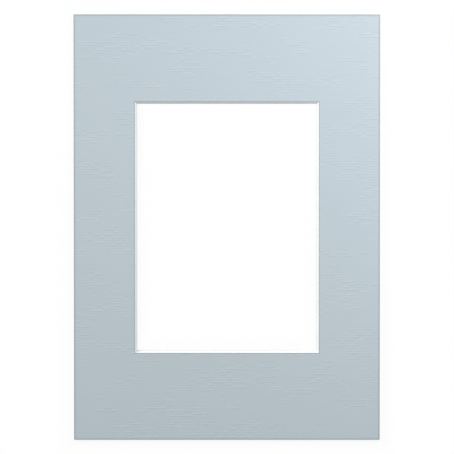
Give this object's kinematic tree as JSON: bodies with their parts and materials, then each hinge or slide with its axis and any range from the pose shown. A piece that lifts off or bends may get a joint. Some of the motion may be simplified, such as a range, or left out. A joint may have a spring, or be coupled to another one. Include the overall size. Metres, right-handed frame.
{
  "type": "picture mount",
  "caption": "Flat rectangular window mount of faced mount board, with a bevel-cut opening that borders a picture inside a frame.",
  "frame": {"origin": "middle of the board on its back face, the face that rests on the surface", "axes": "+X across the board, +Y up the board along its longer side, +Z out of the coloured face"},
  "size_m": [0.21, 0.297, 0.0017],
  "materials": {
    "facing_paper": "matt blue-grey paper with a fine linen emboss",
    "core_board": "matt white pulp board, knife-cut at the edges, smooth off-white paper on the back"
  },
  "bodies": {
    "root": {"core_board": "core_board", "facing_paper": "facing_paper"}
  },
  "joints": []
}
